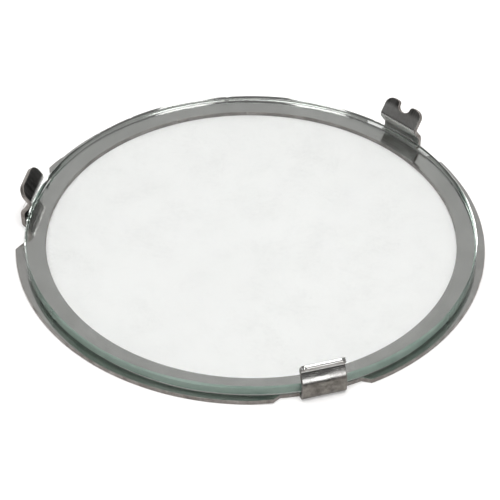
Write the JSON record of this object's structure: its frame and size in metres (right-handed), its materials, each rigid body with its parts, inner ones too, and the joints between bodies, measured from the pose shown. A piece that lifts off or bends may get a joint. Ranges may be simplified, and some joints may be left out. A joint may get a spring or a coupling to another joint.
{
  "type": "clip-on glass cover",
  "caption": "Round clear glass disc held in a flat polished steel ring by spring clips that snap over the rim of an instrument or lamp.",
  "frame": {"origin": "centre of the window, on the ring's flat lower face", "axes": "+Z along the window's axis, from the ring towards the clips' lips; +X to the right and -Y towards the front clip's side, seen from above"},
  "size_m": [0.1268, 0.127, 0.0134],
  "materials": {
    "ring_steel": "polished plated steel, fine handling scratches",
    "clip_steel": "polished plated steel, scuffed and lightly dented on the outside",
    "clear_glass": "clear float glass, greenish at its ground edge"
  },
  "bodies": {
    "carrier": {"carrier_ring": "ring_steel"},
    "glass": {"glass_disc": "clear_glass"},
    "front_clip": {"clip_front": "clip_steel"},
    "left_clip": {"clip_left": "clip_steel"},
    "right_clip": {"clip_right": "clip_steel"}
  },
  "joints": [
    {"name": "front_clip_flex", "type": "hinge", "parent": "carrier", "child": "front_clip", "pos_m": [0.01906, -0.05973, 0.00161], "axis": [0.9527, 0.304, 0], "range_deg": [0, 6], "stiffness_Nm_per_rad": 6},
    {"name": "left_clip_flex", "type": "hinge", "parent": "carrier", "child": "left_clip", "pos_m": [-0.06133, 0.01304, 0.00161], "axis": [-0.2079, -0.9781, 0], "range_deg": [0, 6], "stiffness_Nm_per_rad": 6},
    {"name": "right_clip_flex", "type": "hinge", "parent": "carrier", "child": "right_clip", "pos_m": [0.04276, 0.04586, 0.00161], "axis": [-0.7314, 0.682, 0], "range_deg": [0, 6], "stiffness_Nm_per_rad": 6},
    {"name": "glass_lift", "type": "slide", "parent": "carrier", "child": "glass", "axis": [0, 0, 1], "range_m": [0, 0.0006]}
  ]
}
